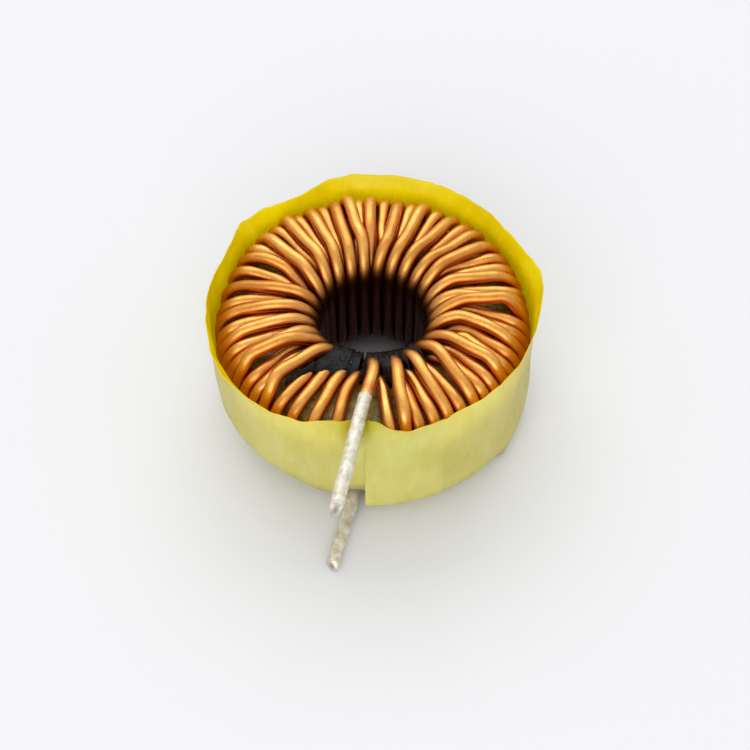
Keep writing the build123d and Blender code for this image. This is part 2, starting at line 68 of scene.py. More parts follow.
# turns, each with its layer and its azimuth where it crosses the top at r = 13, 12, 11, 10, 9,
# 8, 7. L strands lie on the core; U strands belong to the second pass and ride over them.
STRANDS = [
    ('L', 13.9, 13.9, 14.3, 14.3, 14.1, 14.1, 15.5),
    ('L', 23.4, 22.7, 22.5, 22.6, 23.0, 23.6, 26.4),
    ('L', 31.6, 31.2, 31.0, 31.0, 31.4, 32.5, 36.7),
    ('L', 38.5, 38.1, 38.4, 38.2, 38.6, 40.8, 46.5),
    ('U', 45.1, 46.1, 45.9, 45.2, 44.6, 44.7, 45.9),
    ('L', 49.3, 49.6, 50.7, 51.7, 53.1, 56.1, 61.1),
    ('L', 54.4, 54.6, 55.1, 55.4, 56.6, 60.8, 68.7),
    ('U', 61.2, 61.8, 61.0, 60.0, 59.2, 58.7, 58.7),
    ('U', 64.7, 65.4, 64.8, 64.6, 64.4, 65.1, 67.0),
    ('L', 69.3, 70.6, 71.3, 71.8, 73.4, 78.0, 87.3),
    ('U', 75.5, 77.1, 77.0, 77.0, 76.8, 76.7, 77.7),
    ('L', 80.4, 82.0, 83.1, 84.0, 85.7, 90.4, 99.2),
    ('U', 88.6, 89.9, 89.2, 89.0, 89.3, 89.8, 92.0),
    ('L', 93.9, 95.6, 96.7, 97.7, 99.8, 104.8, 111.3),
    ('U', 102.6, 103.9, 103.2, 102.8, 103.0, 103.5, 104.2),
    ('L', 110.9, 112.3, 112.7, 113.0, 113.4, 115.4, 118.0),
    ('L', 118.8, 119.9, 120.8, 121.3, 121.6, 122.3, 123.0),
    ('L', 124.1, 124.2, 124.9, 126.1, 128.2, 131.2, 133.6),
    ('U', 130.2, 130.3, 128.8, 127.7, 127.0, 127.0, 126.6),
    ('L', 137.8, 138.0, 137.6, 137.0, 136.6, 136.8, 136.9),
    ('U', 142.1, 141.8, 141.0, 140.5, 140.6, 140.9, 140.9),
    ('L', 147.7, 147.6, 147.6, 147.7, 148.0, 150.0, 151.4),
    ('U', 154.0, 153.5, 152.9, 152.6, 152.2, 152.2, 152.6),
    ('L', 159.3, 158.8, 158.7, 158.5, 158.4, 159.7, 160.7),
    ('U', 164.7, 164.1, 163.5, 163.3, 162.8, 163.1, 163.9),
    ('U', 170.1, 170.0, 170.1, 170.6, 171.6, 173.5, 175.0),
    ('L', 174.1, 174.0, 174.3, 174.5, 174.1, 172.9, 171.9),
    ('L', 179.0, 178.9, 178.6, 178.4, 178.2, 178.2, 178.2),
    ('L', 184.7, 184.7, 184.8, 184.6, 184.6, 184.5, 184.5),
    ('U', 190.7, 190.7, 190.7, 190.7, 190.5, 190.7, 190.9),
    ('L', 196.5, 196.3, 196.2, 195.9, 195.9, 195.5, 195.2),
    ('U', 201.6, 201.1, 201.2, 201.0, 201.0, 200.6, 199.7),
    ('L', 207.6, 207.2, 207.1, 206.7, 206.6, 205.0, 203.7),
    ('U', 214.6, 213.9, 214.0, 213.7, 213.0, 211.1, 209.1),
    ('L', 221.5, 220.6, 219.6, 218.5, 217.4, 215.2, 213.5),
    ('U', 226.4, 225.9, 226.0, 225.9, 224.9, 223.4, 221.5),
    ('U', 236.0, 234.7, 234.6, 234.3, 234.1, 233.3, 232.3),
    ('L', 243.0, 241.3, 240.2, 239.4, 238.1, 235.4, 232.9),
    ('L', 248.3, 246.5, 244.4, 242.9, 241.1, 238.1, 235.3),
    ('U', 253.2, 251.9, 251.7, 250.7, 249.3, 247.1, 244.3),
    ('L', 261.1, 260.0, 258.3, 256.7, 254.7, 250.5, 245.7),
    ('U', 264.6, 264.0, 264.3, 264.2, 262.9, 260.2, 256.6),
    ('U', 268.6, 268.0, 268.5, 269.2, 268.8, 267.8, 265.1),
    ('L', 275.7, 274.9, 273.6, 273.1, 272.3, 269.6, 263.0),
    ('L', 281.7, 280.5, 278.8, 277.7, 276.8, 274.3, 268.2),
    ('U', 286.0, 285.3, 284.1, 283.3, 281.8, 279.3, 275.3),
    ('L', 292.7, 291.9, 290.8, 289.8, 288.6, 285.5, 277.6),
    ('L', 298.1, 296.7, 294.5, 292.1, 289.1, 285.0, 277.7),
    ('U', 301.1, 300.5, 300.9, 301.0, 300.4, 298.6, 295.0),
    ('L', 307.5, 306.5, 305.9, 305.4, 303.9, 300.8, 295.9),
    ('L', 313.3, 312.3, 311.7, 310.9, 309.7, 306.8, 301.7),
    ('U', 318.2, 317.5, 317.1, 316.2, 314.9, 312.7, 309.3),
    ('L', 324.4, 324.1, 323.7, 323.6, 323.0, 321.2, 316.4),
    ('U', 330.3, 329.9, 330.3, 330.3, 330.3, 329.3, 326.5),
    ('L', 336.1, 336.1, 336.1, 336.1, 335.8, 334.9, 331.8),
    ('L', 342.3, 342.7, 342.7, 342.5, 342.2, 341.7, 339.9),
    ('U', 347.2, 346.9, 346.7, 346.6, 345.5, 344.2, 342.4),
    ('L', 353.3, 353.8, 354.1, 354.3, 354.2, 353.9, 353.3),
]
FINISH = [5.2, 4.8, 3.9, 2.5, 1.2, -0.3, -1.7]     # the finish lead, at the same radii
STRAND_R = np.array([13.0, 12.0, 11.0, 10.0, 9.0, 8.0, 7.0])

# one turn runs up the bore, over the top, down the outside and back underneath
COUNT = [12, 7, 14, 7, 12, 7, 14, 7]
N = sum(COUNT)
EDGE = np.r_[0, np.cumsum(COUNT)]


def spread(a, gap, closed):
    """Azimuths moved apart until neighbours are at least gap degrees from each other."""
    a0 = np.array(a, float)
    x = a0.copy()
    for _ in range(4000):
        if closed:
            e = np.clip(gap - np.diff(np.r_[x, x[0] + 360]), 0, None) * 0.5
            x = x - e + np.roll(e, 1)
        else:
            e = np.clip(gap - np.diff(x), 0, None) * 0.5
            x[:-1] -= e
            x[1:] += e
        x += 0.002 * (a0 - x)
    return x


def near(a, b):
    return a + 360 * round((b - a) / 360)


def first_guess():
    """Centreline stations of the whole wire, laid on the core in winding order."""
    low = [i for i, s in enumerate(STRANDS) if s[0] == "L"]
    high = [i for i, s in enumerate(STRANDS) if s[0] == "U"]
    d0 = WIRE_D + WIRE_GAP
    r1 = CORE_RI - WIRE_D / 2 - 0.045
    r2 = r1 - 1.10
    bore = np.zeros(len(STRANDS))
    bore[low] = spread([STRANDS[i][6] for i in low], math.degrees(d0 / r1), True)
    bore[high] = spread([STRANDS[i][7] for i in high], math.degrees(d0 / r2), False)
    order = low[::-1] + high[::-1]
    turns = len(order)
    zt = CORE_Z1 + WIRE_D / 2 + 0.045
    zb = CORE_Z0 - WIRE_D / 2 - 0.045
    ro = CORE_RO + WIRE_D / 2 + 0.045
    rc = TOP_BEND
    rb = CORE_LOW_EDGE + WIRE_D / 2 + 0.045
    units = turns + 2
    pts = np.zeros((units, N, 3))
    used = np.zeros((units, N), bool)
    aim = np.full((units, N), np.nan)
    layer = ["L"] + [STRANDS[i][0] for i in order] + ["U"]
    inner = [None] + [bore[i] for i in order] + [FINISH[6]]
    tops = [None] + [STRANDS[i][1:] for i in order] + [FINISH]
    outer = [7.6] + [STRANDS[i][1] for i in order] + [FINISH[0]]
    slant = {turns + 1: 40.0, layer.index("U"): 366.0}   # strands that cross the bore obliquely

    def rise(r, l):
        if l == "L":
            return 0.0
        t = min(max((12.0 - r) / 2.6, 0), 1)
        return HUMP * (3 * t * t - 2 * t ** 3)

    for u in range(units):
        l = layer[u]
        ri = r1 if l == "L" else r2
        a_out = outer[u]
        a_in = near(inner[u], a_out) if u else a_out
        if u < units - 1:
            nl = layer[u + 1]
            nri = r1 if nl == "L" else r2
            n_in = near(inner[u + 1], a_out)
        else:
            nl, nri, n_in = "U", r2, a_out
        h = rise(ri, l)
        low_h = 0 if l == "L" else HUMP
        a_bot = near(slant[u], a_in) if u in slant else a_in
        n_bot = near(slant[u + 1], a_out) if u + 1 in slant else n_in
        row = []

        def put(r, a, z, on, target=np.nan):
            a_ = math.radians(a)
            row.append((-r * math.sin(a_), -r * math.cos(a_), z, on, target))

        for j in range(COUNT[0]):
            f = (j + 0.5) / COUNT[0]
            put(ri, a_bot + (a_in - a_bot) * f,
                zb + rc + (zt + h - 2 * rc - zb + low_h) * f - low_h, u > 0)
        for j in range(COUNT[1]):
            t = math.pi / 2 * (j + 0.5) / COUNT[1]
            put(ri + rc - rc * math.cos(t), a_in, zt + h - rc + rc * math.sin(t), u > 0)
        for j in range(COUNT[2]):
            f = (j + 0.5) / COUNT[2]
            r = ri + rc + (ro - ri - 2 * rc) * f
            a = 0.0
            if u:
                a = float(np.interp(r, STRAND_R[::-1], [near(v, a_out) for v in tops[u]][::-1]))
                limit = 9 if l == "L" else 8
                if r < limit:
                    a = a_in + (a - a_in) * min(max((r - ri - rc) / (limit - ri - rc), 0), 1)
            guided = u > 0 and (r > 7.3 if l == "U" else r > 9.5)
            z = zt + (UPPER_LIFT if u == units - 1 and r > 9.4 else rise(r, l))
            put(r, a, z, u > 0, a if guided else np.nan)
        for j in range(COUNT[3]):
            t = math.pi / 2 * (j + 0.5) / COUNT[3]
            put(ro - rc + rc * math.sin(t), a_out, zt - rc + rc * math.cos(t), 0 < u <= turns)
        for j in range(COUNT[4]):
            f = (j + 0.5) / COUNT[4]
            put(ro, a_out, zt - rc + (zb + rb + rc - zt) * f, 0 < u <= turns)
        for j in range(COUNT[5]):
            t = math.pi / 2 * (j + 0.5) / COUNT[5]
            put(ro - rb + rb * math.cos(t), a_out, zb + rb - rb * math.sin(t), 0 < u <= turns)
        for j in range(COUNT[6]):
            f = (j + 0.5) / COUNT[6]
            r = ro - rb + (nri + rc + rb - ro) * f
            crowd = "U" if (l == "U" and r > 9) or nl == "U" else "L"
            put(r, a_out + (n_bot - a_out) * f, zb - 0.5 * rise(r, nl) - 0.5 * rise(r, crowd),
                u <= turns)
        for j in range(COUNT[7]):
            t = math.pi / 2 * (j + 0.5) / COUNT[7]
            put(nri + rc - rc * math.sin(t), n_bot, zb - rise(nri, nl) + rc - rc * math.cos(t),
                u <= turns)
        row = np.array(row, float)
        pts[u], used[u], aim[u] = row[:, :3], row[:, 3] > 0, row[:, 4]
    return pts, used, aim, layer


def core_distance(p):
    """Distance to the ring's rounded rectangular section, and its gradient."""
    hw, hh = (CORE_RO - CORE_RI) / 2, (CORE_Z1 - CORE_Z0) / 2
    r = np.hypot(p[..., 0], p[..., 1])
    q0, q1 = r - (CORE_RO + CORE_RI) / 2, p[..., 2] - (CORE_Z0 + CORE_Z1) / 2
    edge = np.where((q0 > 0) & (q1 < 0), CORE_LOW_EDGE, CORE_EDGE)
    ax, az = np.abs(q0) - (hw - edge), np.abs(q1) - (hh - edge)
    m0, m1 = np.maximum(ax, 0), np.maximum(az, 0)
    length = np.hypot(m0, m1)
    d = length + np.minimum(np.maximum(ax, az), 0) - edge
    inside = length < 1e-9
    safe = np.maximum(length, 1e-9)
    g0 = np.where(inside, (ax > az) * 1.0, m0 / safe) * np.sign(q0)
    g1 = np.where(inside, (ax <= az) * 1.0, m1 / safe) * np.sign(q1)
    k = 1 / np.maximum(r, 1e-9)
    return d, np.stack([g0 * p[..., 0] * k, g0 * p[..., 1] * k, g1], -1)


def pull_tight(pts, used, aim, layer, rounds=220):
    """The wire drawn taut: strands keep clear of each other, of the core and of the floor."""
    units = len(pts)
    d0 = WIRE_D + WIRE_GAP
    total = units * N
    x = pts.copy()
    aim_r, guided = np.radians(np.nan_to_num(aim)), ~np.isnan(aim)
    on = np.where(used.reshape(-1))[0]
    i0, i1 = on[0], on[-1]
    held = np.zeros(total, bool)
    held[i0:i0 + 3] = True
    held[i1 - 2:i1 + 1] = True
    up, towards_axis = np.zeros(N), np.zeros(N)
    up[EDGE[2]:EDGE[3]], up[EDGE[6]:EDGE[7]], towards_axis[EDGE[0]:EDGE[1]] = 1, -1, 1
    ramp = np.linspace(0, 1, COUNT[1])
    up[EDGE[1]:EDGE[2]], towards_axis[EDGE[1]:EDGE[2]] = ramp, ramp[::-1]
    up[EDGE[7]:EDGE[8]], towards_axis[EDGE[7]:EDGE[8]] = -ramp[::-1], ramp
    over = np.repeat([1.0 if l == "U" else 0.0 for l in layer], N)
    turn_row = ((np.arange(units) > 0) & (np.arange(units) < units - 1))[:, None]
    for step in range(rounds):
        phase = step / rounds
        tension = 0.05 if phase < 0.8 else 0.0
        stiffness = 0.25 if phase < 0.9 else 0.05
        f = x.reshape(-1, 3).copy()
        seg = f[i0:i1 + 1]
        for _ in range(2):
            lap = np.zeros_like(seg)
            lap[1:-1] = 0.5 * (seg[:-2] + seg[2:]) - seg[1:-1]
            bend = np.zeros_like(seg)
            bend[1:-1] = lap[1:-1] - 0.5 * (lap[:-2] + lap[2:])
            move = tension * lap + stiffness * bend
            move[held[i0:i1 + 1]] = 0
            seg = seg + move
        f[i0:i1 + 1] = seg
        x = f.reshape(units, N, 3)
        r = np.hypot(x[..., 0], x[..., 1])
        a = np.arctan2(-x[..., 0], -x[..., 1])
        turn = (aim_r - a + np.pi) % (2 * np.pi) - np.pi
        k = 0.22 * np.clip((r - 7.5) / 2.2, 0, 1) * guided * turn * r
        x[..., 0] -= k * np.cos(a)
        x[..., 1] += k * np.sin(a)
        if step < 16 and step % 2 == 0 or step % 8 == 0:
            # point pairs that may meet in the next rounds
            reach = d0 + (1.2 if step < 16 else 0.5)
            p = x.reshape(-1, 3)[on]
            first, second = [], []
            for j in range(0, len(on), 500):
                q = p[j:j + 500]
                gap = (q * q).sum(1)[:, None] + (p * p).sum(1)[None] - 2 * q @ p.T
                m, n = np.nonzero(gap < reach * reach)
                m, n = on[m + j], on[n]
                keep = n - m >= 8
                first.append(m[keep])
                second.append(n[keep])
            first, second = np.concatenate(first), np.concatenate(second)
            lifted = (over[first] - over[second])[:, None] * 0.7
        r = np.hypot(x[..., 0], x[..., 1])
        out = np.zeros_like(x)
        out[..., 2] = up
        out[..., 0] = -towards_axis * x[..., 0] / r
        out[..., 1] = -towards_axis * x[..., 1] / r
        lean = lifted * out.reshape(-1, 3)[first]
        for _ in range(2):
            p = x.reshape(-1, 3)
            dv = p[first] - p[second]
            dist = np.sqrt((dv * dv).sum(-1)) + 1e-9
            hit = dist < d0
            m, n, dv = first[hit], second[hit], dv[hit] + lean[hit]
            dv *= ((d0 - dist[hit]) * 0.5 / (np.sqrt((dv * dv).sum(-1)) + 1e-9))[:, None]
            ends, push = np.concatenate([m, n]), np.concatenate([dv, -dv])
            hits = np.maximum(np.bincount(ends, minlength=total), 1)
            acc = np.stack([np.bincount(ends, push[:, c], total) for c in range(3)], 1)
            acc /= hits[:, None]
            acc[held] = 0
            x = x + 1.4 * acc.reshape(units, N, 3)
            d, g = core_distance(x)
            x = x + g * (np.clip(WIRE_D / 2 + 0.035 - d, 0, None) * used)[..., None]
            low = used & (x[..., 2] < WIRE_D / 2 + 0.01)
            x[..., 2] = np.where(low, WIRE_D / 2 + 0.01, x[..., 2])
            r = np.hypot(x[..., 0], x[..., 1])
            far = used & (r > OUTER_LIMIT) & turn_row
            k = np.where(far, OUTER_LIMIT / np.maximum(r, 1e-9), 1.0)
            x[..., 0] *= k
            x[..., 1] *= k
    return x


def polar(r, a, z):
    a = math.radians(a)
    return (-r * math.sin(a), -r * math.cos(a), z)


# ------------------------------------------------------------------------------ mesh helpers
def make_object(name, verts, quads, tris=(), smooth=True, attributes=(), face_slots=None):
    """A mesh object from arrays in millimetres."""
    me = bpy.data.meshes.new(name)
    quads = np.asarray(quads, np.int32).reshape(-1, 4)
    tris = np.asarray(tris, np.int32).reshape(-1, 3)
    verts = np.asarray(verts, float)
    me.vertices.add(len(verts))
    me.vertices.foreach_set("co", (verts * MM).astype(np.float32).ravel())
    me.loops.add(quads.size + tris.size)
    me.loops.foreach_set("vertex_index", np.concatenate([quads.ravel(), tris.ravel()]))
    me.polygons.add(len(quads) + len(tris))
    starts = np.concatenate([np.arange(len(quads)) * 4, quads.size + np.arange(len(tris)) * 3])
    me.polygons.foreach_set("loop_start", starts.astype(np.int32))
    if face_slots is not None:
        me.polygons.foreach_set("material_index", np.asarray(face_slots, np.int32))
    me.update(calc_edges=True)
    me.validate()
    me.polygons.foreach_set("use_smooth", np.full(len(me.polygons), smooth))
    for key, values in attributes:
        layer_ = me.attributes.new(key, "FLOAT", "POINT")
        layer_.data.foreach_set("value", np.asarray(values, np.float32))
    ob = bpy.data.objects.new(name, me)
    bpy.context.scene.collection.objects.link(ob)
    return ob


def hash_noise(p, seed=0):
    """Smooth value noise in -1..1 at points p (n, 3), without any random state."""
    p = np.asarray(p, float)
    i = np.floor(p).astype(np.int64)
    f = p - i
    f = f * f * (3 - 2 * f)
    total = np.zeros(len(p))
    for dx in (0, 1):
        for dy in (0, 1):
            for dz in (0, 1):
                h = ((i[:, 0] + dx) * 374761393 + (i[:, 1] + dy) * 668265263
                     + (i[:, 2] + dz) * 2147483647 + seed * 974634777) & 0x7FFFFFFF
                h = ((h ^ (h >> 13)) * 1274126177) & 0x7FFFFFFF
                h = ((h ^ (h >> 16)) & 0xFFFF) / 32767.5 - 1
                w = ((f[:, 0] if dx else 1 - f[:, 0]) * (f[:, 1] if dy else 1 - f[:, 1])
                     * (f[:, 2] if dz else 1 - f[:, 2]))
                total += w * h
    return total


def smooth01(t):
    t = np.clip(t, 0, 1)
    return t * t * (3 - 2 * t)


# ------------------------------------------------------------------------------ the wire
stations, used, aim, layer = first_guess()
rounds = 220
centre = pull_tight(stations, used, aim, layer, rounds)

spine = centre[used]
unit_of = np.repeat(np.arange(len(centre)), N).reshape(len(centre), N)[used]
lower_in = np.array([polar(*p) for p in LOWER_LEAD])
upper_out = np.array([polar(*p) for p in UPPER_LEAD])


def resample(points, step):
    """Points at an even step along a Catmull-Rom curve through points."""
    p = np.asarray(points, float)
    ext = np.vstack([2 * p[0] - p[1], p, 2 * p[-1] - p[-2]])
    out = []
    for i in range(1, len(ext) - 2):
        a, b, c, d = ext[i - 1:i + 3]
        n = max(1, int(round(np.linalg.norm(c - b) / step)))
        for t in np.arange(n) / n:
            out.append(0.5 * (2 * b + (c - a) * t + (2 * a - 5 * b + 4 * c - d) * t * t
                              + (3 * b - a - 3 * c + d) * t ** 3))
    out.append(p[-1])
    return np.array(out)


head_run = resample(np.vstack([lower_in, spine[3:5]]), 0.3)[:-1]
tail_run = resample(np.vstack([spine[-5:-3], upper_out]), 0.3)[1:]
line = np.vstack([head_run, spine[4:-4], tail_run])
for _ in range(2):
    line[1:-1] = 0.25 * line[:-2] + 0.5 * line[1:-1] + 0.25 * line[2:]
# at the back the turns stand a little fuller over the outer edge of the core
at_az = np.degrees(np.arctan2(-line[:, 0], -line[:, 1])) % 360
at_r = np.hypot(line[:, 0], line[:, 1])
at_back = smooth01((at_az - 92) / 38) * smooth01((268 - at_az) / 38)
fuller = at_back * smooth01((at_r - 9.4) / 3.2) * smooth01((line[:, 2] - 9.8) / 2.8)
line[:, :2] *= (1 + 0.55 * fuller / at_r)[:, None]
line[:, 2] += 0.30 * fuller
along = np.r_[0, np.cumsum(np.linalg.norm(np.diff(line, axis=0), axis=1))]
whole = along[-1]
lower_tin = 9.6       # tinned length from the lower end
upper_tin = 12.6      # tinned length from the upper end


def tube(line, radius_a, radius_b, sides):
    """Rings round a line, with the frame carried along it without twist."""
    tangent = np.gradient(line, axis=0)
    tangent /= np.linalg.norm(tangent, axis=1)[:, None]
    u = np.zeros_like(line)
    start = np.cross(tangent[0], [0, 0, 1.0])
    u[0] = start / np.linalg.norm(start)
    for i in range(1, len(line)):
        v = u[i - 1] - tangent[i] * (u[i - 1] @ tangent[i])
        u[i] = v / np.linalg.norm(v)
    w = np.cross(tangent, u)
    t = np.arange(sides) / sides * 2 * math.pi
    ring = (line[:, None] + u[:, None] * (radius_a[:, None] * np.cos(t))[..., None]
            + w[:, None] * (radius_b[:, None] * np.sin(t))[..., None])
    return ring, tangent, u, w


SIDES = 16
wire_r = WIRE_D / 2 + 0.012
radius = np.full(len(line), wire_r)
from_lower, from_upper = along, whole - along
tinned = (smooth01((lower_tin - from_lower) / 0.8) + smooth01((upper_tin - from_upper) / 0.9))
lumps = hash_noise(np.stack([along * 0.9, along * 0, along * 0 + 3.3], 1), 5)
radius += tinned * (0.004 + 0.014 * lumps)
bare = smooth01((upper_tin + 1.2 - from_upper) / 1.0) * smooth01((from_upper - upper_tin + 0.4) / 0.6)
radius -= 0.02 * bare
rings, tangent, side_u, side_w = tube(line, radius, radius, SIDES)
# tinned lengths: slight dents and a solder run along the wire
ring_noise = hash_noise(rings.reshape(-1, 3) * 2.2, 11).reshape(rings.shape[:2])
outward = rings - line[:, None]
rings = rings + outward * (ring_noise * 0.035 * tinned[:, None])[..., None]
# a shallow groove on top of the lower lead, where the solder has sunk
groove_at = smooth01((6.2 - from_lower) / 0.8) * smooth01((from_lower - 0.5) / 0.8)
up_share = outward[..., 2] / np.maximum(np.linalg.norm(outward, axis=2), 1e-9)
side_share = outward[..., 0] / np.maximum(np.linalg.norm(outward, axis=2), 1e-9)
sunk = np.exp(-((side_share + 0.12) / 0.16) ** 2) * (up_share > 0) * groove_at[:, None]
rings = rings - outward * (0.20 * sunk)[..., None]
# cut ends: pinched to a short wedge, one facet longer than the other
for end, sign in ((0, -1), (-1, 1)):
    for k in range(3):
        i = k if end == 0 else len(line) - 1 - k
        keep = ((0.55, 0.80, 0.95) if end == 0 else (0.74, 0.92, 0.99))[k]
        off = rings[i] - line[i]
        vertical = off @ side_w[i]
        rings[i] = line[i] + off - side_w[i] * (vertical * (1 - keep))[:, None]
        if k == 0:
            slant = off @ side_u[i] * (0.5 if end == 0 else 0.75) + off @ side_w[i] * 0.35
            rings[i] += tangent[i] * sign * slant[:, None]
rings[..., 2] = np.maximum(rings[..., 2], 0.004)
n_rings = len(line)
ring_id = np.arange(n_rings * SIDES).reshape(n_rings, SIDES)
a_, b_ = ring_id[:-1], ring_id[1:]
wire_quads = np.stack([a_, np.roll(a_, -1, 1), np.roll(b_, -1, 1), b_], -1).reshape(-1, 4)
wire_verts = np.vstack([rings.reshape(-1, 3), line[0][None] , line[-1][None]])
cap0, cap1 = n_rings * SIDES, n_rings * SIDES + 1
fan = np.arange(SIDES)
wire_tris = np.vstack([
    np.stack([np.full(SIDES, cap0), ring_id[0][(fan + 1) % SIDES], ring_id[0][fan]], 1),
    np.stack([np.full(SIDES, cap1), ring_id[-1][fan], ring_id[-1][(fan + 1) % SIDES]], 1)])
turn_id = np.interp(along, np.linspace(0, whole, 60), np.arange(60))
shade = hash_noise(np.stack([turn_id * 1.7, turn_id * 0, turn_id * 0], 1), 23)


def per_vertex(values, first, last):
    return np.r_[np.repeat(values, SIDES), first, last]


ring_r = np.hypot(rings[..., 0], rings[..., 1])
# painted shade down in the bore
painted_bore_shade = smooth01((9.6 - ring_r) / 2.8) * smooth01((14.1 - rings[..., 2]) / 4.3)
# how far round from the crest of the strand each vertex sits, for the painted shade on its sides: 0 on the crest, 1
# on the side
line_r = np.hypot(line[:, 0], line[:, 1])
near_r = np.clip(line_r, CORE_RI + CORE_EDGE, CORE_RO - CORE_EDGE)
near_z = np.clip(line[:, 2], CORE_Z0 + CORE_EDGE, CORE_Z1 - CORE_EDGE)
away_r, away_z = line_r - near_r, line[:, 2] - near_z
away_len = np.maximum(np.hypot(away_r, away_z), 1e-6)
crest = np.stack([away_r / away_len * line[:, 0] / line_r, away_r / away_len * line[:, 1] / line_r,
                  away_z / away_len], 1)
lift = (outward * crest[:, None]).sum(-1) / np.maximum(np.linalg.norm(outward, axis=2), 1e-9)
on_body = smooth01((15.6 - line_r) / 0.8)[:, None]
# painted shade on the sides of each strand, away from its crest
painted_strand_shade = smooth01((1.02 - lift) / 0.82) * on_body * (1 - np.clip(tinned + bare, 0, 1))[:, None]
# painted shade on the outer turn of the ring, where the strands go down behind the film
outer_turn_shade = smooth01((ring_r - 12.5) / 1.9) * smooth01((14.0 - rings[..., 2]) / 2.4)
outer_turn_shade = outer_turn_shade * (1 - np.clip(tinned + bare, 0, 1))[:, None]
painted_strand_shade = np.clip(np.maximum(painted_strand_shade, 0.85 * outer_turn_shade), 0, 1)
winding_ob = make_object(
    "winding_wire", wire_verts, wire_quads, wire_tris,
    attributes=(("tin", per_vertex(tinned, 1, 1)), ("bare", per_vertex(bare, 0, 0)),
                ("shade", per_vertex(shade, 0, 0)),
                ("cut", np.r_[np.zeros(n_rings * SIDES), 1, 1]),
                ("painted_bore_shade", np.r_[painted_bore_shade.ravel(), 0, 0]), ("painted_strand_shade", np.r_[painted_strand_shade.ravel(), 0, 0])))

# ------------------------------------------------------------------------------ the film
# fold lines: azimuth, radius of the lower edge (None where it stays up over the lower lead), rim
# radius, rim height, height where the wall starts to lean
TUCKED = [(12.0, 0.65), (13.24, 1.34), (FILM_R, 4.28)]
RAISED = [(13.6, 3.2), (14.2, 4.35), (FILM_R - 0.02, 5.9)]
FOLDS = [
    (-25, 12.7, 14.9, 14.0, 12.4), (-12.5, 12.8, 15.2, 14.0, 12.4), (-7.7, 12.8, 15.0, 14.0, 12.4),
    (-4.6, 12.8, 14.5, 14.0, 12.4), (-1.3, 12.9, 13.8, 13.9, 12.2), (2.7, "raised", 12.9, 12.9, 11.8),
    (5.5, "raised", 12.8, 12.7, 11.5), (8.3, "raised", 13.0, 12.9, 11.6),
    (11.6, "tucked", 13.95, 13.75, 12.0), (13.6, "tucked", 14.15, 13.95, 12.3),
    (17, "tucked", 14.4, 14.0, 12.4), (24, "tucked", 15.15, 14.0, 12.4),
    (34, "tucked", 15.5, 14.0, 12.4), (45, "tucked", 15.6, 14.0, 12.4),
    (57, "tucked", 16.0, 14.0, 12.4), (69, "tucked", 15.55, 14.0, 12.4),
    (82, "tucked", 15.25, 14.0, 12.4), (92, "tucked", 15.0, 14.0, 12.4),
    (103, 14.4, 14.85, 14.0, 12.4), (115, 13.6, 14.8, 14.0, 12.4), (127, 13.2, 15.8, 14.0, 12.4),
    (139, 13.2, 15.5, 14.0, 12.4), (152, 13.0, 14.75, 14.0, 12.4), (164, 13.0, 15.6, 14.0, 12.4),
    (173, 13.0, 16.05, 14.0, 12.4), (188, 13.0, 15.9, 14.0, 12.4), (201, 13.0, 15.9, 14.0, 12.4),
    (213, 13.0, 15.65, 14.0, 12.4), (226, 13.2, 15.6, 14.0, 12.4), (238, 13.2, 15.3, 14.0, 12.4),
    (248, 13.4, 15.45, 14.0, 12.4), (257, 13.6, 15.95, 14.0, 12.4), (266, 13.7, 15.65, 14.0, 12.4),
    (275, 13.9, 15.35, 14.0, 12.4), (285, 14.4, 15.1, 14.0, 12.4), (295, 14.1, 14.95, 14.0, 12.4),
    (301, 14.4, 15.0, 14.0, 12.4), (311, 12.9, 15.0, 14.0, 12.4), (319, 13.0, 15.0, 14.0, 12.4),
    (328, 12.8, 14.8, 14.0, 12.4), (335, 12.7, 14.9, 14.0, 12.4), (347.5, 12.8, 15.2, 14.0, 12.4),
    (352.3, 12.8, 15.0, 14.0, 12.4), (355.4, 12.8, 14.5, 14.0, 12.4),
    (358.7, 12.9, 13.8, 13.9, 12.2), (362.7, 12.9, 12.9, 12.9, 11.8),
]
FILM_REAL = 0.06
profile_rows = []
for a, foot, rim_r, rim_z, lean_z in FOLDS:
    out = 0.10 if a > 334 else 0.0
    if foot == "tucked":
        low = TUCKED
    elif foot == "raised":
        low = RAISED
    else:
        z = foot - 12.35 if foot <= 13.0 else 0.1 + 0.15 * (foot - 13.0)
        low = [(foot, z), ((foot + FILM_R) / 2, (z + 2.58) / 2), (FILM_R, 2.58)]
    knots = low + [(FILM_R, lean_z), (rim_r, rim_z)]
    row = []
    for (ra, za), (rb, zb), steps in zip(knots[:-1], knots[1:], (4, 5, 12, 8)):
        row += [(ra + (rb - ra) * t, za + (zb - za) * t) for t in np.arange(steps) / steps]
    row.append(knots[-1])
    row = np.array(row)
    row[:, 0] += out
    an = math.radians(a)
    profile_rows.append(np.stack([-row[:, 0] * math.sin(an), -row[:, 0] * math.cos(an), row[:, 1]], 1))
profile_rows = np.array(profile_rows)
fold_az = np.array([f[0] for f in FOLDS], float)
cols = np.unique(np.r_[np.arange(-25, 362.7, 0.8), fold_az])
film = np.zeros((len(cols), profile_rows.shape[1], 3))
for j in range(profile_rows.shape[1]):
    for c in range(3):
        film[:, j, c] = np.interp(cols, fold_az, profile_rows[:, j, c])
